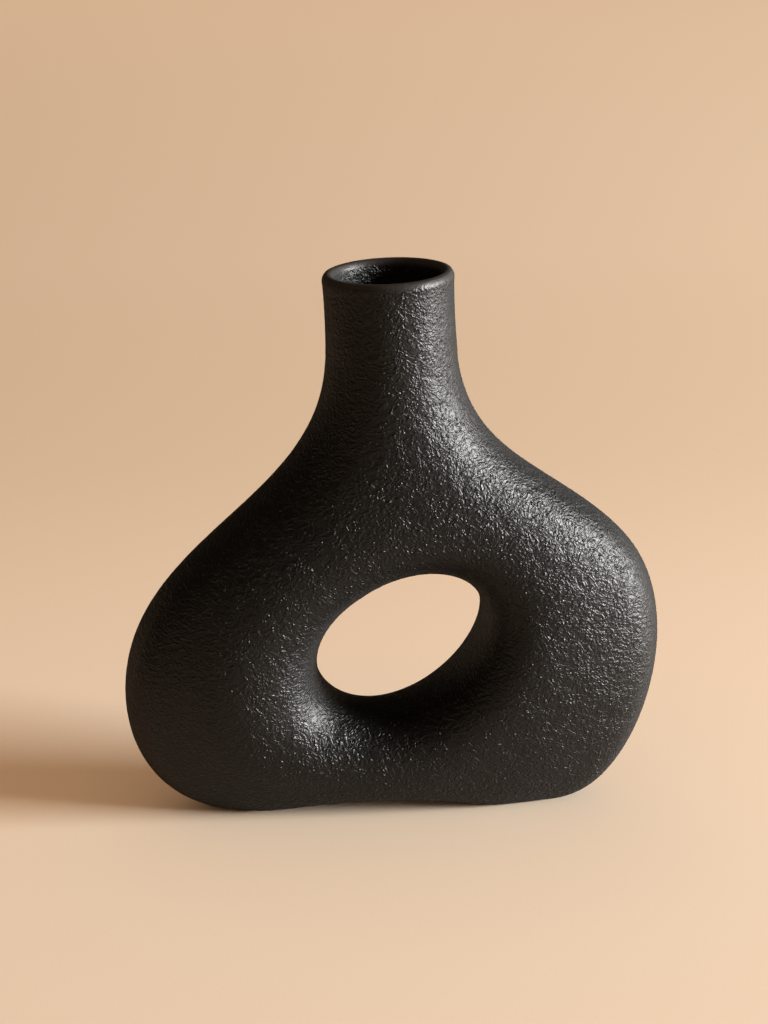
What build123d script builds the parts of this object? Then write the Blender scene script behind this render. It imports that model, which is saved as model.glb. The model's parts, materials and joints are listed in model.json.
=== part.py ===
# Donut vase in dark glazed stoneware. Two press-moulded half shells meet at the middle plane round a
# slanted oval hole and are luted with slip, a thrown neck sits in a socket of the shoulder in a bed of
# slip, and a round coil pressed onto its scored top makes the lip.
# Millimetres. +X is the right of the front view, +Y the rear, +Z up, the origin under the middle.
from build123d import *
import math
import os

# Outline of the body: widest reach, and where the neck stands
vase_width = 194.5
neck_base_height = 171.0
neck_axis_x = -0.6
neck_lean = 2.6
neck_radius = 23.1
neck_foot_flare = 2.9
# Left side of the front view, with the pull of its curve as a share of the run or rise that it bends
left_lobe_height = 45.5
left_foot_reach = 57.5
left_foot_pull = 0.629
left_flank_pull = 0.56
left_shoulder_pull = 0.478
left_neck_pull = 0.454
# Right side of the front view
right_lobe_height = 62.4
right_foot_reach = 63.5
right_foot_pull = 0.548
right_flank_pull = 0.46
right_shoulder_pull = 0.6
right_neck_pull = 0.521
# Front to rear
body_half_depth = 30.0
belly_height = 62.0
foot_half_depth = 10.5
depth_foot_pull = 0.333
depth_flank_pull = 0.419
depth_shoulder_pull = 0.413
depth_neck_pull = 0.413
# Fullness of the lobes in plan: 2 is an ellipse, more is squarer
lobe_fullness = 2.5
# Walls
wall = 4.5
# Slanted hole through the body: its waist, its widening to the faces and the rounding of its mouths
hole_x = 2.3
hole_height = 65.3
hole_long_radius = 32.8
hole_short_radius = 23.0
hole_tilt = 34.5
hole_flare = 4.5
hole_round = 17.0
# Shallow arch under the body between the two feet
arch_x = -6.3
arch_half_span = 44.0
arch_rise = 6.2
# Slip in the joints
seam_thickness = 0.8
neck_slip_thickness = 0.5
# Neck and lip, along the leaning axis
neck_length = 25.6
neck_wall = 4.5
neck_taper = 0.2
spigot_length = 8.0
spigot_wall = 2.0
lip_height = 3.4
lip_seat_depth = 1.0
lip_setback = 0.4
# Stations of the body's sections
section_points = 10
rim_pull = 0.5
lower_sections = 7
upper_sections = 7
# How far the hole's cut runs past the faces
hole_overrun = 6.0

bore_radius = neck_radius - neck_wall
spigot_radius = bore_radius + spigot_wall
neck_top_radius = neck_radius - neck_taper
socket_radius = spigot_radius + neck_slip_thickness
socket_depth = spigot_length + neck_slip_thickness
hole_half_height = math.hypot(
    hole_long_radius * math.sin(math.radians(hole_tilt)),
    hole_short_radius * math.cos(math.radians(hole_tilt)),
)
clay_above_hole = neck_base_height - hole_height - hole_half_height - hole_flare
clay_below_hole = hole_height - hole_half_height - hole_flare
cut_share = 1 + hole_overrun / body_half_depth
mouth_round = min(hole_round, clay_above_hole / 3, clay_below_hole / 2)
arch_radius = (arch_half_span**2 + arch_rise**2) / (2 * arch_rise)
lean = math.radians(neck_lean)
foot_flare = math.tan(math.radians(neck_foot_flare))
neck_foot = (neck_axis_x, 0, neck_base_height)
neck_across = (math.cos(lean), 0, math.sin(lean))
neck_up = (-math.sin(lean), 0, math.cos(lean))
neck_joint = Plane(neck_foot, x_dir=neck_across, z_dir=neck_up)
neck_section = Plane(neck_foot, x_dir=neck_across, z_dir=(0, -1, 0))
neck_axis = Axis(neck_foot, neck_up)


# Half profile from the foot to the neck: reach from the middle at each height
def half_profile(reach, lobe_height, foot_reach, pulls, neck_reach, neck_drift):
    foot_pull, flank_pull, shoulder_pull, neck_pull = pulls
    widest = (reach, lobe_height)
    rise = neck_base_height - lobe_height
    foot_end = (foot_reach + foot_pull * (reach - foot_reach), 0)
    neck_end = (neck_reach + neck_drift * neck_pull * rise, neck_base_height - neck_pull * rise)
    with BuildLine() as profile:
        Bezier((foot_reach, 0), foot_end, (reach, lobe_height - flank_pull * lobe_height), widest)
        Bezier(widest, (reach, lobe_height + shoulder_pull * rise), neck_end, (neck_reach, neck_base_height))
    return profile.wire()


left_profile = half_profile(
    vase_width / 2,
    left_lobe_height,
    left_foot_reach,
    (left_foot_pull, left_flank_pull, left_shoulder_pull, left_neck_pull),
    neck_radius - neck_axis_x,
    foot_flare - math.tan(lean),
)
right_profile = half_profile(
    vase_width / 2,
    right_lobe_height,
    right_foot_reach,
    (right_foot_pull, right_flank_pull, right_shoulder_pull, right_neck_pull),
    neck_radius + neck_axis_x,
    foot_flare + math.tan(lean),
)
depth_profile = half_profile(
    body_half_depth,
    belly_height,
    foot_half_depth,
    (depth_foot_pull, depth_flank_pull, depth_shoulder_pull, depth_neck_pull),
    neck_radius,
    foot_flare,
)


# Reach of a profile at a height, drawn in square to the curve by the inset
def reach_at(profile, height, inset):
    low, high = 0.0, 1.0
    for _ in range(40):
        middle = (low + high) / 2
        tangent = profile % middle
        point = profile @ middle + Vector(-tangent.Y, tangent.X) * inset
        if point.Y < height:
            low = middle
        else:
            high = middle
    return point.X


# Front half of a closed outline, from its right end round to its left end, with a flat rim
def half_outline(plane, right_end, left_end, depth, power, rim):
    spread = (right_end - left_end) / 2
    middle = (right_end + left_end) / 2
    points = [(right_end, rim)]
    for i in range(1, section_points):
        across = math.cos(math.pi * i / section_points)
        along = math.sin(math.pi * i / section_points)
        points.append((middle + spread * math.copysign(abs(across) ** power, across), -depth * along**power))
    points.append((left_end, rim))
    with BuildSketch(plane) as outline:
        with BuildLine():
            Spline(*points, tangents=((0, -1), (0, 1)), tangent_scalars=(rim_pull, rim_pull))
            Line(points[-1], points[0])
        make_face()
    return outline.sketch


# Section of a half at a height: a full oval in the lobes that turns into a circle at the neck
def section(height, inset, rim):
    left = reach_at(left_profile, height, inset)
    right = reach_at(right_profile, height, inset)
    depth = reach_at(depth_profile, height, inset)
    lobe_share = ((left + right) / 2 - neck_radius) / (vase_width / 2 - neck_radius)
    power = 2 / (2 + (lobe_fullness - 2) * min(1, max(0, lobe_share)))
    return half_outline(Plane.XY.offset(height), right, -left, depth, power, rim)


# Oval of the hole at a share of the half depth in front of the middle plane
def hole_oval(share, inset):
    grow = hole_flare * share**2 + inset
    with BuildSketch(Plane.XZ.offset(share * body_half_depth)) as oval:
        with Locations((hole_x, hole_height)):
            Ellipse(hole_long_radius + grow, hole_short_radius + grow, rotation=hole_tilt + 180)
    return oval.sketch


# Front half of the body from a bottom height to the neck, with its rounded hole, drawn in by the inset
def half_donut(bottom, inset, rim):
    middle = (left_lobe_height + right_lobe_height) / 2
    lower = [bottom + (middle - bottom) * (i / lower_sections) ** 2 for i in range(lower_sections)]
    upper = [middle + (neck_base_height - middle) * i / upper_sections for i in range(upper_sections)]
    neck_reach = neck_radius - inset
    top = half_outline(neck_joint, neck_reach, -neck_reach, neck_reach, 1, rim)
    with BuildPart() as form:
        loft([section(height, inset, rim) for height in lower + upper] + [top])
        loft([hole_oval(share, inset) for share in (-cut_share, 0, cut_share)], mode=Mode.SUBTRACT)
        mouth = form.edges(Select.LAST).filter_by(lambda edge: edge.is_closed).sort_by(Axis.Y)[0]
        fillet(mouth, mouth_round - inset)
    return form.part


with BuildSketch(neck_joint) as socket_mouth:
    Circle(socket_radius)

# Press-moulded front half: a hollow wall with a flat rim, an arch under it and a socket for the neck
with BuildPart() as front_shell:
    add(half_donut(0, 0, -seam_thickness / 2))
    add(half_donut(arch_rise + wall, wall, seam_thickness / 2), mode=Mode.SUBTRACT)
    with BuildSketch(Plane.XZ):
        with Locations((arch_x, arch_rise - arch_radius)):
            Circle(arch_radius)
    extrude(amount=body_half_depth * 2, both=True, mode=Mode.SUBTRACT)
    extrude(socket_mouth.sketch, amount=-socket_depth, mode=Mode.SUBTRACT)

with BuildPart() as rear_shell:
    mirror(front_shell.part, about=Plane.XZ)

# Slip between the two rims: one band down both sides and under the base, one round the hole
hole_rim, outer_rim = front_shell.faces().group_by(Axis.Y)[-1].sort_by(SortBy.AREA)

with BuildPart() as outer_seam_slip:
    extrude(outer_rim, amount=seam_thickness, dir=(0, 1, 0))
    extrude(socket_mouth.sketch, amount=-socket_depth, mode=Mode.SUBTRACT)

with BuildPart() as hole_seam_slip:
    extrude(hole_rim, amount=seam_thickness, dir=(0, 1, 0))

# Thrown neck with its spigot and the scored hollow that the lip coil beds in
lip_inner_radius = bore_radius + lip_setback
lip_middle = (lip_inner_radius + neck_top_radius) / 2
bore_top = (bore_radius, neck_length)
lip_inner = (lip_inner_radius, neck_length)
lip_outer = (neck_top_radius, neck_length)
lip_bed = (lip_middle, neck_length - lip_seat_depth)
step_outer = (neck_radius, neck_slip_thickness)
step_inner = (spigot_radius, neck_slip_thickness)
neck_waist = (neck_radius - foot_flare * neck_length / 2, neck_length / 2)
spigot_outer = (spigot_radius, -spigot_length)
spigot_inner = (bore_radius, -spigot_length)

with BuildPart() as neck:
    with BuildSketch(neck_section):
        with BuildLine():
            Polyline(lip_inner, bore_top, spigot_inner, spigot_outer, step_inner, step_outer)
            Bezier(step_outer, neck_waist, lip_outer)
            ThreePointArc(lip_outer, lip_bed, lip_inner)
        make_face()
    revolve(axis=neck_axis)

# Slip that fills the socket round the spigot and under the neck's step
with BuildPart() as neck_slip:
    with BuildSketch(neck_section):
        with BuildLine():
            Polyline(
                spigot_inner,
                (bore_radius, -socket_depth),
                (socket_radius, -socket_depth),
                (socket_radius, 0),
                (neck_radius, 0),
                step_outer,
                step_inner,
                spigot_outer,
                close=True,
            )
        make_face()
    revolve(axis=neck_axis)

with BuildPart() as lip:
    with BuildSketch(neck_section):
        with BuildLine():
            ThreePointArc(lip_outer, lip_bed, lip_inner)
            ThreePointArc(lip_inner, (lip_middle, neck_length + lip_height), lip_outer)
        make_face()
    revolve(axis=neck_axis)

front_shell.part.label = "front_shell"
rear_shell.part.label = "rear_shell"
outer_seam_slip.part.label = "outer_seam_slip"
hole_seam_slip.part.label = "hole_seam_slip"
neck.part.label = "neck"
neck_slip.part.label = "neck_slip"
lip.part.label = "lip"

os.makedirs("parts", exist_ok=True)
for piece in (front_shell, rear_shell, outer_seam_slip, hole_seam_slip, neck, neck_slip, lip):
    export_step(piece.part, f"parts/{piece.part.label}.step")
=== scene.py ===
import bpy
import bmesh
import json
from math import atan2, copysign, cos, exp, pi, radians, sin, tan
from mathutils import Matrix, Vector
from mathutils.bvhtree import BVHTree

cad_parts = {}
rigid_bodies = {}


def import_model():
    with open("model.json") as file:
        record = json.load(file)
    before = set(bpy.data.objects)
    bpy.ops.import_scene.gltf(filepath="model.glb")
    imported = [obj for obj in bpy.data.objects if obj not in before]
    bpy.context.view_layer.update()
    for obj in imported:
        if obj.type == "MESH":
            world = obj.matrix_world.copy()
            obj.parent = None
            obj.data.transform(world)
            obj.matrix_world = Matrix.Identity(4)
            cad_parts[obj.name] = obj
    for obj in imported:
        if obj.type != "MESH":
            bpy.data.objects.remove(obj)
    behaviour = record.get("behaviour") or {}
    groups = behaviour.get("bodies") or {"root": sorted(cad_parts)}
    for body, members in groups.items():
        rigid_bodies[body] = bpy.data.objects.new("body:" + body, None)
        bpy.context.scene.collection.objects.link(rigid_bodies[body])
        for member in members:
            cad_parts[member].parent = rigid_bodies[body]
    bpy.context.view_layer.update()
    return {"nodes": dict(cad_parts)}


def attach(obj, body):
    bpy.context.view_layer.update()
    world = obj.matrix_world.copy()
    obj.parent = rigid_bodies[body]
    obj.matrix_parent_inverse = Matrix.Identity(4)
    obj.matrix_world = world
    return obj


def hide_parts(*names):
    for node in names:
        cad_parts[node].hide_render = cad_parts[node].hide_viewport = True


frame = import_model()
scene = bpy.context.scene
print("frame loaded:", sorted(frame["nodes"]))

# sizes that the body, the seams and the neck share, in metres
vase = {
    "wall": 0.0045,
    "seamHalf": 0.0004,
    "holeMiddle": (0.0023, 0.0, 0.0653),
    "neckFoot": (-0.0006, 0.0, 0.171),
    "neckLean": 2.6,
    "neckRadius": 0.0231,
    "neckLength": 0.0256,
    "neckSteps": 80,  # faces round the neck, even
    "sharpAngle": 50.0,
}

holeMiddle = Vector(vase["holeMiddle"])
neckFoot = Vector(vase["neckFoot"])
leanAngle = radians(vase["neckLean"])
neckAcross = Vector((cos(leanAngle), 0, sin(leanAngle)))
neckUp = Vector((-sin(leanAngle), 0, cos(leanAngle)))
neckPlace = Matrix.Translation(neckFoot) @ Matrix.Rotation(-leanAngle, 4, "Y")


# materials
def plug(tree, value, socket):
    if hasattr(value, "links"):
        tree.links.new(value, socket)
    else:
        socket.default_value = value


def addNode(tree, kind, spot, inputs=None, **settings):
    node = tree.nodes.new(kind)
    node.location = spot
    for name, value in settings.items():
        setattr(node, name, value)
    for key, value in (inputs or {}).items():
        plug(tree, value, node.inputs[key])
    return node


def mathNode(tree, operation, spot, *values, clamp=False):
    settings = {"operation": operation, "use_clamp": clamp}
    return addNode(tree, "ShaderNodeMath", spot, dict(enumerate(values)), **settings).outputs[0]


# a Mix node's share is its input 0, its colours are inputs 6 and 7 and output 2
def mixColours(tree, spot, share, first, second):
    return addNode(tree, "ShaderNodeMix", spot, {0: share, 6: first, 7: second}, data_type="RGBA").outputs[2]


def newMaterial(name):
    material = bpy.data.materials.new(name)
    material.use_nodes = True
    tree = material.node_tree
    return material, tree, tree.nodes["Principled BSDF"]


# skin of the glaze: raised wrinkles at two scales, grains that stand up, fine grain and broad patches
skinSizes = {
    "warpScale": 120.0,
    "warpReach": 0.0060,
    "flatten": 1.25,  # wrinkles lie longer than they stand
    "foldScale": 300.0,
    "foldWidth": 0.13,
    "foldShare": 0.6,  # of the wrinkles' height, the rest is crinkles
    "crinkleScale": 620.0,
    "crinkleWidth": 0.16,
    "granuleScale": 640.0,
    "granuleFoot": 0.50,  # radius of a grain's foot and of its flat top as shares of its cell
    "granuleTop": 0.10,
    "emptyCells": 0.30,  # share of the cells that hold no grain
    "grainScale": 3200.0,
    "patchScale": 30.0,
}
skinAmounts = ("Creases", "Granules", "Grain")


def glazeSkinGroup():
    group = bpy.data.node_groups.new("glazeSkin", "ShaderNodeTree")
    for name in skinAmounts:
        group.interface.new_socket(name, in_out="INPUT", socket_type="NodeSocketFloat")
    for name in ("Height", "Speck", "Patch"):
        group.interface.new_socket(name, in_out="OUTPUT", socket_type="NodeSocketFloat")
    amounts = addNode(group, "NodeGroupInput", (600, 600)).outputs
    where = addNode(group, "ShaderNodeTexCoord", (-1000, 0)).outputs["Object"]

    def noise(spot, scale, vector, **inputs):
        inputs.update(Scale=scale, Vector=vector)
        return addNode(group, "ShaderNodeTexNoise", spot, inputs).outputs

    def vectorMath(operation, spot, inputs):
        return addNode(group, "ShaderNodeVectorMath", spot, inputs, operation=operation).outputs[0]

    def mound(spot, value, foot, top):
        inputs = {"Value": value, "From Min": foot, "From Max": top}
        return addNode(group, "ShaderNodeMapRange", spot, inputs, interpolation_type="SMOOTHSTEP").outputs[0]

    def share(spot, value, part):
        return mathNode(group, "MULTIPLY", spot, value, part)

    warp = noise((-800, 200), skinSizes["warpScale"], where, Detail=2.0)["Color"]
    centred = vectorMath("SUBTRACT", (-600, 200), {0: warp, 1: (0.5, 0.5, 0.5)})
    pushed = vectorMath("SCALE", (-400, 200), {0: centred, "Scale": skinSizes["warpReach"]})
    flattened = vectorMath("MULTIPLY", (-400, 0), {0: where, 1: (1, 1, skinSizes["flatten"])})
    warped = vectorMath("ADD", (-200, 100), {0: flattened, 1: pushed})

    # a ridge stands where the noise crosses its middle value
    def ridges(x, y, scale, width):
        field = noise((x, y), scale, warped, Detail=1.0, Distortion=0.5)[0]
        offset = mathNode(group, "SUBTRACT", (x + 200, y), field, 0.5)
        side = mathNode(group, "ABSOLUTE", (x + 350, y), offset)
        return mound((x + 500, y), side, width, 0.0)

    folds = ridges(0, 500, skinSizes["foldScale"], skinSizes["foldWidth"])
    crinkles = ridges(0, 250, skinSizes["crinkleScale"], skinSizes["crinkleWidth"])
    folds = share((600, 450), folds, skinSizes["foldShare"])
    crinkles = share((600, 300), crinkles, 1 - skinSizes["foldShare"])
    wrinkles = mathNode(group, "ADD", (700, 400), folds, crinkles)

    granules = {"Scale": skinSizes["granuleScale"], "Vector": warped}
    cells = addNode(group, "ShaderNodeTexVoronoi", (0, 0), granules).outputs
    bead = mound((200, 0), cells["Distance"], skinSizes["granuleFoot"], skinSizes["granuleTop"])
    draw = addNode(group, "ShaderNodeSeparateColor", (200, -150), {0: cells["Color"]}).outputs[0]
    tall = mathNode(group, "SUBTRACT", (400, -150), draw, skinSizes["emptyCells"], clamp=True)
    speck = mathNode(group, "MULTIPLY", (600, -50), bead, tall)
    grain = noise((0, -350), skinSizes["grainScale"], where, Detail=1.0)[0]
    patch = noise((0, -600), skinSizes["patchScale"], where, Detail=3.0)[0]

    height = share((900, 400), wrinkles, amounts["Creases"])
    height = mathNode(group, "ADD", (1200, 300), height, share((1000, 100), speck, amounts["Granules"]))
    height = mathNode(group, "ADD", (1400, 200), height, share((1200, -200), grain, amounts["Grain"]))
    addNode(group, "NodeGroupOutput", (1700, 0), {"Height": height, "Speck": speck, "Patch": patch})
    return group


glazeSkin = glazeSkinGroup()


def wrinkledGlaze(name, look, bare):
    material, tree, shader = newMaterial(name)
    amounts = {key: look[key] for key in skinAmounts}
    skin = addNode(tree, "ShaderNodeGroup", (-900, 0), amounts, node_tree=glazeSkin).outputs
    tone = mixColours(tree, (-600, 300), skin["Patch"], look["dark"], look["light"])
    tone = mixColours(tree, (-400, 300), skin["Speck"], tone, look["speck"])
    rough = mathNode(tree, "MULTIPLY_ADD", (-500, -50), skin["Patch"], look["roughSwing"], look["rough"])
    facing = addNode(tree, "ShaderNodeLayerWeight", (-900, -200)).outputs["Facing"]
    slant = mathNode(tree, "POWER", (-700, -150), facing, look["slantPower"])
    rough = mathNode(tree, "MULTIPLY_ADD", (-300, -50), slant, look["roughSlant"], rough)

    # the bare zone lies past a level along one direction
    where = addNode(tree, "ShaderNodeTexCoord", (-1300, -400)).outputs["Object"]
    dot = {0: where, 1: bare["along"]}
    level = addNode(tree, "ShaderNodeVectorMath", (-1100, -400), dot, operation="DOT_PRODUCT")
    ends = {"Value": level.outputs["Value"], "From Min": bare["from"], "From Max": bare["to"]}
    zone = addNode(tree, "ShaderNodeMapRange", (-900, -400), ends, interpolation_type="SMOOTHSTEP")
    share = zone.outputs[0]
    wiped = mathNode(tree, "MULTIPLY", (-800, -500), share, bare["smooth"])
    left = mathNode(tree, "SUBTRACT", (-700, -400), 1.0, wiped)
    relief = mathNode(tree, "MULTIPLY", (-500, -300), skin["Height"], left)
    tone = mixColours(tree, (-200, 300), share, tone, bare["colour"])
    rough = mathNode(tree, "MULTIPLY_ADD", (-150, -50), share, bare["rough"], rough)

    bumps = {"Strength": look["bump"], "Distance": look["depth"], "Height": relief}
    bump = addNode(tree, "ShaderNodeBump", (-300, -250), bumps)
    shader.inputs["Specular IOR Level"].default_value = look["gloss"]
    tree.links.new(tone, shader.inputs["Base Color"])
    tree.links.new(rough, shader.inputs["Roughness"])
    tree.links.new(bump.outputs[0], shader.inputs["Normal"])
    return material


glazeLook = {
    "dark": (0.0016, 0.00145, 0.00135, 1),
    "light": (0.0034, 0.0031, 0.0028, 1),
    "speck": (0.011, 0.010, 0.009, 1),
    "rough": 0.36,
    "gloss": 0.24,
    "roughSwing": 0.10,
    "roughSlant": 0.55,  # wrinkles hide each other at a slant
    "slantPower": 2.0,
    "Creases": 0.68,
    "Granules": 1.6,
    "Grain": 0.12,
    "bump": 1.0,
    "depth": 0.0003,
}
# the glaze runs thin and a little brown over the lip's top
neckTop = neckFoot.dot(neckUp) + vase["neckLength"]
lipZone = {
    "along": neckUp,
    "from": neckTop,
    "to": neckTop + 0.0028,
    "smooth": 0.9,
    "colour": (0.017, 0.014, 0.012, 1),
    "rough": 0.0,
}
# the feet are wiped bare where they stand
footZone = {
    "along": Vector((0, 0, -1)),
    "from": -0.0009,
    "to": -0.0003,
    "smooth": 0.9,
    "colour": (0.075, 0.055, 0.042, 1),
    "rough": 0.45,
}
bodyGlaze = wrinkledGlaze("wrinkledBlackGlaze", glazeLook, footZone)
lipGlaze = wrinkledGlaze("thinLipGlaze", glazeLook, lipZone)
print("glazes made")


# meshes
def finishPiece(name, bm, material, node):
    mesh = bpy.data.meshes.new(name)
    bm.to_mesh(mesh)
    bm.free()
    mesh.polygons.foreach_set("use_smooth", [True] * len(mesh.polygons))
    mesh.set_sharp_from_angle(angle=radians(vase["sharpAngle"]))
    mesh.materials.append(material)
    piece = bpy.data.objects.new(name, mesh)
    scene.collection.objects.link(piece)
    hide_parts(node)
    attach(piece, "root")
    print("piece", name, len(mesh.polygons), "faces")


# a line of vertices through the points
def chain(bm, points, closed):
    first = last = bm.verts.new(points[0])
    for point in points[1:]:
        last = bmesh.ops.extrude_vert_indiv(bm, verts=[last])["verts"][0]
        last.co = point
    if closed:
        bm.edges.new((last, first))


def outward(bm, face, direction):
    bmesh.ops.recalc_face_normals(bm, faces=bm.faces)
    if face.normal.dot(direction) < 0:
        bmesh.ops.reverse_faces(bm, faces=bm.faces)


def spacedEvenly(points, count):
    lengths = [0.0]
    for a, b in zip(points, points[1:]):
        lengths.append(lengths[-1] + (b - a).length)
    spaced = []
    k = 0
    for i in range(count + 1):
        goal = lengths[-1] * i / count
        while k < len(points) - 2 and lengths[k + 1] < goal:
            k += 1
        share = (goal - lengths[k]) / max(1e-12, lengths[k + 1] - lengths[k])
        spaced.append(points[k].lerp(points[k + 1], min(1.0, max(0.0, share))))
    return spaced


def spacedBy(points, step):
    length = sum((b - a).length for a, b in zip(points, points[1:]))
    return spacedEvenly(points, round(length / step))


# the first points of a line, up to the last one counted, drawn towards their neighbours
def faired(line, last, passes):
    for _ in range(passes):
        line[1:last] = [(a + c) * 0.25 + b * 0.5 for a, b, c in zip(line, line[1:last], line[2:])]
    return line


# body: columns of points from the hole's waist over the front to the rim, laid on the CAD surface
body = {
    "sideColumns": 210,  # columns that end down both sides and under the base
    "rows": 44,
    "samples": 150,  # rays along a column before it is spaced evenly
    "rimSamples": 900,
    "rimStart": 0.3,  # how far from the hole's middle the rays to the rim start
    "halfDepth": 0.028,
    "rayStart": 1.6,  # where a column's rays start, as a share of the reach
    "smoothing": 3,
    "smoothFactor": 0.35,
    "fairingStep": 0.001,
    "mouthReach": 0.045,  # how far from the waist the hole's mouth is faired
    "mouthFairing": 36,
    "waistHold": 0.012,
    "roundSide": 216.0,  # direction from the hole's middle in which the front is round like a ring
    "roundShare": 0.6,
    "roundFrom": 0.35,  # and where along a column that gives way to the CAD surface
    "roundTo": 0.75,
}


def surfaceTree(node):
    bm = bmesh.new()
    bm.from_mesh(frame["nodes"][node].data)
    tree = BVHTree.FromBMesh(bm)
    bm.free()
    return tree


frontSurface = surfaceTree("front_shell")
rimSurface = surfaceTree("outer_seam_slip")
waistSurface = surfaceTree("hole_seam_slip")
toFront = Vector((0, -vase["seamHalf"], 0))


def hitPoint(tree, start, goal):
    return tree.ray_cast(start, (goal - start).normalized())[0]


# ends of the columns down both sides and under the base, from the neck's left to its right
def bodyRim():
    left = neckFoot - neckAcross * vase["neckRadius"]
    right = neckFoot + neckAcross * vase["neckRadius"]
    first = atan2(left.z - holeMiddle.z, left.x - holeMiddle.x)
    last = atan2(right.z - holeMiddle.z, right.x - holeMiddle.x) + 2 * pi
    outline = [left]
    for i in range(1, body["rimSamples"]):
        angle = first + (last - first) * i / body["rimSamples"]
        start = holeMiddle + Vector((cos(angle), 0, sin(angle))) * body["rimStart"]
        spot = hitPoint(rimSurface, start, holeMiddle)
        outline.append(Vector((spot.x, 0, spot.z)))
    outline.append(right)
    return spacedEvenly(outline, body["sideColumns"])


# ends of the columns under the neck
def neckRim():
    half = vase["neckSteps"] // 2
    turns = [pi * i / half for i in range(1, half)]
    return [neckFoot + (neckAcross * cos(t) - Vector((0, sin(t), 0))) * vase["neckRadius"] for t in turns]


# the column is faired together with its mirror image behind the waist, and the waist is put back
def roundedMouth(line):
    line = spacedBy(line, body["fairingStep"])
    last = round(body["mouthReach"] / body["fairingStep"])
    waist = line[0]
    mirrored = [Vector((p.x, 2 * waist.y - p.y, p.z)) for p in line[last:0:-1]]
    whole = faired(mirrored + line, 2 * last, body["mouthFairing"])
    shift = waist - whole[last]
    reach = body["waistHold"] / body["fairingStep"]
    return [p + shift * exp(-(i / reach) ** 2) for i, p in enumerate(whole[last:])]


def bodyColumn(end):
    away = Vector((end.x - holeMiddle.x, 0, end.z - holeMiddle.z))
    outer = away.length
    away.normalize()
    waist = hitPoint(waistSurface, holeMiddle, holeMiddle + away)
    inner = (waist - holeMiddle).length
    halfRun = (outer - inner) / 2
    core = holeMiddle + away * (inner + halfRun)  # middle of the clay on this column
    endTurn = atan2(-end.y / body["halfDepth"], -1.0) if end.y < 0 else pi
    line = [waist + toFront]
    for i in range(1, body["samples"]):
        turn = endTurn * i / body["samples"]
        reach = away * (-halfRun * cos(turn)) - Vector((0, body["halfDepth"] * sin(turn), 0))
        spot = hitPoint(frontSurface, core + reach * body["rayStart"], core)
        if spot and spot.y < toFront.y:
            line.append(spot)
    line.append(end if end.y < 0 else end + toFront)
    return spacedEvenly(roundedMouth(line), body["rows"])


# below and to the left of the hole the front's columns lean towards half an ellipse next to the hole
def rounderColumn(column):
    first, last = column[0], column[-1]
    away = last - first
    share = body["roundShare"] * max(0.0, cos(atan2(away.z, away.x) - radians(body["roundSide"])))
    deep = first.y - min(point.y for point in column)
    turns = [pi * i / body["samples"] for i in range(body["samples"] + 1)]
    ring = [first.lerp(last, (1 - cos(t)) / 2) - Vector((0, deep * sin(t), 0)) for t in turns]
    ring = spacedEvenly(ring, body["rows"])
    rounder = []
    for i, point in enumerate(column):
        t = (i / body["rows"] - body["roundFrom"]) / (body["roundTo"] - body["roundFrom"])
        t = min(1.0, max(0.0, t))
        rounder.append(point.lerp(ring[i], share * (1 - t * t * (3 - 2 * t))))
    return rounder


sideRim = bodyRim()
columns = [bodyColumn(end) for end in sideRim + neckRim()]
frontColumns = [rounderColumn(column) for column in columns]
waistRim = [column[0] - toFront for column in columns]
print("columns laid on the body:", len(columns))


# side is -1 for the front half and 1 for the rear half
def halfBody(side, laid):
    bm = bmesh.new()
    columnOf = bm.verts.layers.int.new("column")
    ring = bmesh.ops.create_circle(bm, segments=len(laid), radius=1.0)["verts"]
    for i, vert in enumerate(ring):
        vert[columnOf] = i
        vert.co = laid[i][0]
    edges = bm.edges[:]
    for row in range(1, body["rows"] + 1):
        grown = bmesh.ops.extrude_edge_only(bm, edges=edges)["geom"]
        newVerts = {v for v in grown if isinstance(v, bmesh.types.BMVert)}
        edges = [e for e in grown if isinstance(e, bmesh.types.BMEdge) and newVerts.issuperset(e.verts)]
        for vert in newVerts:
            vert.co = laid[vert[columnOf]][row]
    inside = [v for v in bm.verts if not v.is_boundary]
    axes = {"use_axis_x": True, "use_axis_y": True, "use_axis_z": True}
    for _ in range(body["smoothing"]):
        bmesh.ops.smooth_vert(bm, verts=inside, factor=body["smoothFactor"], **axes)
    bmesh.ops.scale(bm, vec=(1, -side, 1), verts=bm.verts)
    outermost = max(bm.faces, key=lambda f: abs(f.calc_center_median().y))
    outward(bm, outermost, Vector((0, side, 0)))
    bmesh.ops.solidify(bm, geom=bm.faces[:], thickness=vase["wall"])
    return bm


# facing is 1 where the band faces away from the hole and -1 where it faces into it
def seamBand(points, closed, facing):
    bm = bmesh.new()
    chain(bm, [point + toFront for point in points], closed)
    grown = bmesh.ops.extrude_edge_only(bm, edges=bm.edges[:])["geom"]
    moved = [v for v in grown if isinstance(v, bmesh.types.BMVert)]
    bmesh.ops.translate(bm, vec=toFront * -2, verts=moved)
    bm.faces.ensure_lookup_table()
    face = bm.faces[0]
    outward(bm, face, (face.calc_center_median() - holeMiddle) * facing)
    bmesh.ops.solidify(bm, geom=bm.faces[:], thickness=vase["wall"])
    return bm


finishPiece("frontShell", halfBody(-1, frontColumns), bodyGlaze, "front_shell")
finishPiece("rearShell", halfBody(1, columns), bodyGlaze, "rear_shell")
finishPiece("outerSeam", seamBand(sideRim, False, 1), bodyGlaze, "outer_seam_slip")
finishPiece("holeSeam", seamBand(waistRim, True, -1), bodyGlaze, "hole_seam_slip")


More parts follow.
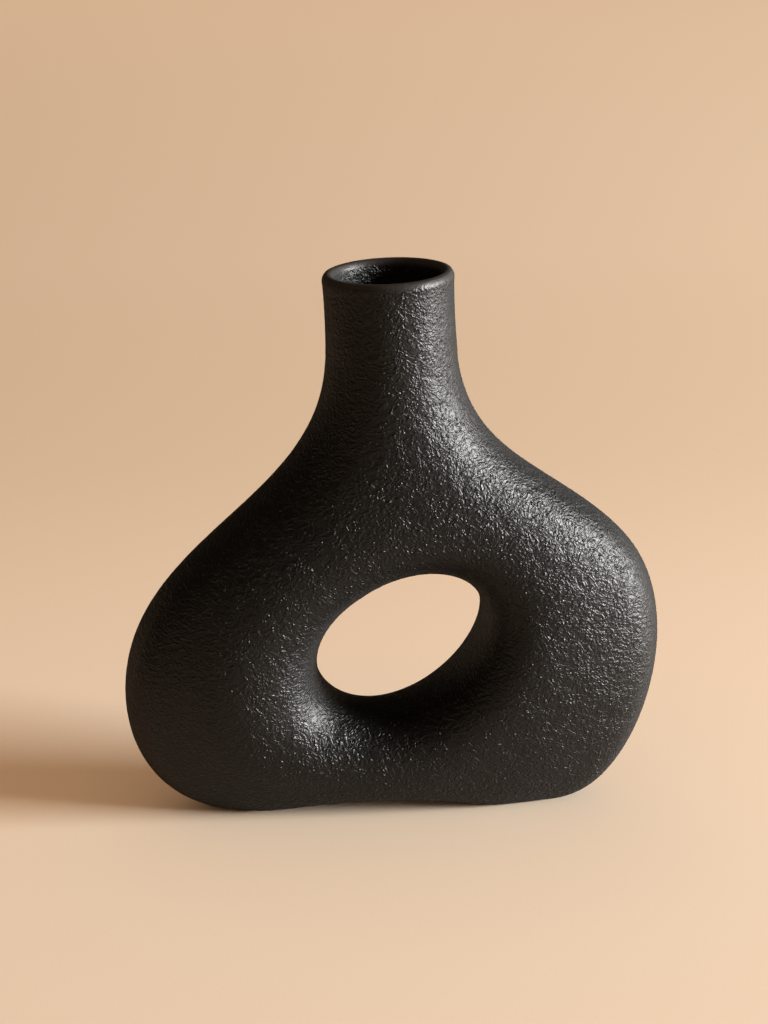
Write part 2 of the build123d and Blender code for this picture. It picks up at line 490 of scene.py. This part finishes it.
# neck, its bed of slip and the lip, turned round the leaning axis
neckShape = {
    "bore": 0.0186,
    "topRadius": 0.0229,
    "waist": (0.02245, 0.0128),
    "slip": 0.0005,
    "spigotWall": 0.002,
    "spigotLength": 0.008,
    "lipSetback": 0.0004,
    "lipSeat": 0.001,
    "lipHeight": 0.0034,
    "lipSteps": 40,  # even
    "sideSteps": 40,
    "bedSteps": 8,
    "easeStep": 0.00025,  # the joint of neck and lip is eased, counted down from the lip's crown
    "easeReach": 0.0090,
    "easeSkip": 0.0012,
    "easing": 30,
    "outsideStride": 4,  # of the eased points, every so many are kept in the neck's mesh
    "boreFine": 30,  # and down to this point of the bore more than below it
    "boreFineStride": 2,
    "boreStride": 8,
    "weld": 1e-6,
}


# arc from one end of a level chord to the other, through the crown over its middle
def arcPoints(first, crown, last, steps):
    half = (last[0] - first[0]) / 2
    rise = crown[1] - first[1]
    radius = (half * half + rise * rise) / (2 * rise)
    spread = 2 * atan2(abs(rise), abs(half))
    turns = [spread * (2 * i / steps - 1) for i in range(steps + 1)]
    swing = copysign(radius, half)
    return [(crown[0] + swing * sin(t), crown[1] - radius + radius * cos(t)) for t in turns]


def turned(profile):
    bm = bmesh.new()
    chain(bm, [(r, 0, h) for r, h in profile], True)
    around = {"axis": (0, 0, 1), "cent": (0, 0, 0), "angle": 2 * pi, "steps": vase["neckSteps"]}
    bmesh.ops.spin(bm, geom=bm.verts[:] + bm.edges[:], use_merge=True, **around)
    bmesh.ops.remove_doubles(bm, verts=bm.verts, dist=neckShape["weld"])
    bmesh.ops.recalc_face_normals(bm, faces=bm.faces)
    bmesh.ops.transform(bm, matrix=neckPlace, verts=bm.verts)
    return bm


spigot = neckShape["bore"] + neckShape["spigotWall"]
boreFoot = (neckShape["bore"], -neckShape["spigotLength"])
boreTop = (neckShape["bore"], vase["neckLength"])
neckStep = (vase["neckRadius"], neckShape["slip"])
lipInner = (neckShape["bore"] + neckShape["lipSetback"], vase["neckLength"])
lipOuter = (neckShape["topRadius"], vase["neckLength"])
lipMiddle = (lipInner[0] + lipOuter[0]) / 2
lipCrown = (lipMiddle, vase["neckLength"] + neckShape["lipHeight"])
lipSeat = (lipMiddle, vase["neckLength"] - neckShape["lipSeat"])


# outside of the neck from its step up to the lip, drawn in at the waist
def neckSide():
    points = []
    for i in range(neckShape["sideSteps"] + 1):
        t = i / neckShape["sideSteps"]
        bend = ((1 - t) ** 2, 2 * t * (1 - t), t * t)
        ends = (neckStep, neckShape["waist"], lipOuter)
        points.append(tuple(sum(b * end[axis] for b, end in zip(bend, ends)) for axis in (0, 1)))
    return points


# side of neck and lip from the crown down, eased at the joint and parted there
def easedSide(profile):
    line = spacedBy([Vector((r, 0, h)) for r, h in profile], neckShape["easeStep"])
    skip = round(neckShape["easeSkip"] / neckShape["easeStep"])
    last = round(neckShape["easeReach"] / neckShape["easeStep"])
    line[skip:] = faired(spacedBy(line[skip:], neckShape["easeStep"]), last, neckShape["easing"])
    points = [(v.x, v.z) for v in line]
    joint = min(range(len(points)), key=lambda i: abs(points[i][1] - vase["neckLength"]))
    return points[: joint + 1], points[joint:]


lipArc = arcPoints(lipInner, lipCrown, lipOuter, neckShape["lipSteps"])
halfLip = neckShape["lipSteps"] // 2
lipOutside, neckOutside = easedSide(lipArc[halfLip:] + neckSide()[::-1])
lipInside, neckInside = easedSide(lipArc[halfLip::-1] + [boreTop, boreFoot])
lipBed = arcPoints(lipOutside[-1], lipSeat, lipInside[-1], neckShape["bedSteps"])[1:-1]


def neckProfile():
    stride = neckShape["outsideStride"]
    fine = neckShape["boreFine"]
    outside = [neckOutside[-1]] + neckOutside[-1 - stride:0:-stride] + [neckOutside[0]]
    inside = [neckInside[0]] + neckInside[1:fine:neckShape["boreFineStride"]]
    inside += neckInside[fine:-stride:neckShape["boreStride"]] + [neckInside[-1]]
    return outside + lipBed + inside + [(spigot, -neckShape["spigotLength"]), (spigot, neckShape["slip"])]


def lipProfile():
    return lipInside[::-1] + lipOutside[1:] + lipBed


def bedProfile():
    slip = neckShape["slip"]
    deep = -neckShape["spigotLength"]
    socket = spigot + slip
    inner = [boreFoot, (neckShape["bore"], deep - slip), (socket, deep - slip), (socket, 0)]
    return inner + [(vase["neckRadius"], 0), neckStep, (spigot, slip), (spigot, deep)]


finishPiece("neckTube", turned(neckProfile()), bodyGlaze, "neck")
finishPiece("neckBed", turned(bedProfile()), bodyGlaze, "neck_slip")
finishPiece("lipCoil", turned(lipProfile()), lipGlaze, "lip")


# stage, light and camera
stage = {
    "middle": (0.8, 0.2, 0.0),
    "size": (3.4, 6.4),
    "near": -0.2,  # painted light: the paper's tones run from here to the far end, darker in a band a little behind the vase and lighter far back, where the lamps hardly reach
    "far": 2.8,
    "paintedLightTones": (
        (0.0, (0.59, 0.505, 0.39, 1)),
        (0.11, (0.615, 0.515, 0.39, 1)),
        (0.21, (0.49, 0.392, 0.267, 1)),
        (0.38, (0.545, 0.45, 0.322, 1)),
        (0.7, (0.665, 0.575, 0.428, 1)),
        (1.0, (0.82, 0.74, 0.58, 1)),
    ),
    "fleckScale": 900.0,
    "fleck": 0.06,
    "rough": 0.9,
}


def paperMaterial():
    paper, tree, shader = newMaterial("paperFloor")
    where = addNode(tree, "ShaderNodeTexCoord", (-800, 0)).outputs["Object"]
    back = addNode(tree, "ShaderNodeSeparateXYZ", (-600, 100), {0: where}).outputs["Y"]
    ends = {"Value": back, "From Min": stage["near"], "From Max": stage["far"]}
    depth = addNode(tree, "ShaderNodeMapRange", (-400, 100), ends).outputs[0]
    # painted light: the paper's colour follows its depth, darker in a band behind the vase and lighter far
    # back, in place of the light's fall-off
    ramp = addNode(tree, "ShaderNodeValToRGB", (-200, 100), {0: depth})
    ramp.color_ramp.interpolation = "B_SPLINE"
    marks = ramp.color_ramp.elements
    for place, _ in stage["paintedLightTones"][1:-1]:
        marks.new(place)
    for mark, (_, tone) in zip(marks, stage["paintedLightTones"]):
        mark.color = tone
    specks = {"Vector": where, "Scale": stage["fleckScale"], "Detail": 2.0}
    fleck = addNode(tree, "ShaderNodeTexNoise", (-600, -200), specks).outputs[0]
    fleck = mathNode(tree, "MULTIPLY", (-300, -200), fleck, stage["fleck"])
    tint = mixColours(tree, (0, 0), fleck, ramp.outputs[0], (1, 1, 1, 1))
    tree.links.new(tint, shader.inputs["Base Color"])
    shader.inputs["Roughness"].default_value = stage["rough"]
    return paper


def paperFloor():
    bm = bmesh.new()
    bmesh.ops.create_grid(bm, x_segments=1, y_segments=1, size=0.5)  # one metre square, then scaled
    bmesh.ops.scale(bm, vec=(*stage["size"], 1), verts=bm.verts)
    bmesh.ops.translate(bm, vec=stage["middle"], verts=bm.verts)
    mesh = bpy.data.meshes.new("paperFloor")
    bm.to_mesh(mesh)
    bm.free()
    mesh.materials.append(paperMaterial())
    piece = bpy.data.objects.new("paperFloor", mesh)
    scene.collection.objects.link(piece)


paperFloor()

# one lamp makes only the highlights, the other only lights the floor and casts the shadow
lampAim = Vector((0.0, 0.0, 0.08))
lampColour = (1.0, 0.99, 0.98)
lamps = {
    "softbox": {"place": (3.9, -0.85, 1.1), "size": (0.95, 2.0), "watts": 980.0, "highlights": True},
    "wash": {"place": (3.3, -0.82, 0.65), "size": (1.2, 0.5), "watts": 455.0, "highlights": False},
}
for name, lamp in lamps.items():
    light = bpy.data.lights.new(name, "AREA")
    light.shape = "RECTANGLE"
    light.size, light.size_y = lamp["size"]
    light.energy = lamp["watts"]
    light.color = lampColour
    holder = bpy.data.objects.new(name, light)
    holder.location = lamp["place"]
    holder.rotation_euler = (lampAim - Vector(lamp["place"])).to_track_quat("-Z", "Y").to_euler()
    holder.visible_camera = False
    holder.visible_glossy = lamp["highlights"]
    holder.visible_diffuse = not lamp["highlights"]
    scene.collection.objects.link(holder)

# a warm dome that fills the shadows, much dimmer where the glaze mirrors it
room = {
    "fill": {"Color": (1.0, 0.643, 0.413, 1), "Strength": 0.656},
    "mirrored": {"Color": (1.0, 0.8, 0.62, 1), "Strength": 0.05},
}
world = bpy.data.worlds.new("studio")
world.use_nodes = True
roomTree = world.node_tree
fillLight = roomTree.nodes["Background"]
for key, value in room["fill"].items():
    fillLight.inputs[key].default_value = value
mirrored = addNode(roomTree, "ShaderNodeBackground", (0, -200), room["mirrored"])
glossyRay = addNode(roomTree, "ShaderNodeLightPath", (0, 300)).outputs["Is Glossy Ray"]
choices = {0: glossyRay, 1: fillLight.outputs[0], 2: mirrored.outputs[0]}
choice = addNode(roomTree, "ShaderNodeMixShader", (300, 100), choices)
roomTree.links.new(choice.outputs[0], roomTree.nodes["World Output"].inputs["Surface"])
scene.world = world

view = {
    "place": (-0.07408, -0.81350, 0.38159),
    "look": (0.08244, 0.94605, -0.31333),
    "tall": 24.0,  # degrees from top to bottom
    "sensor": 36.0,
}
camera = bpy.data.cameras.new("photoView")
camera.sensor_fit = "VERTICAL"
camera.sensor_height = view["sensor"]
camera.lens = view["sensor"] / 2 / tan(radians(view["tall"] / 2))
cameraHolder = bpy.data.objects.new("photoView", camera)
cameraHolder.location = view["place"]
cameraHolder.rotation_euler = Vector(view["look"]).to_track_quat("-Z", "Y").to_euler()
scene.collection.objects.link(cameraHolder)
scene.camera = cameraHolder
scene.view_settings.view_transform = "Standard"
print("stage, lamps and camera set")
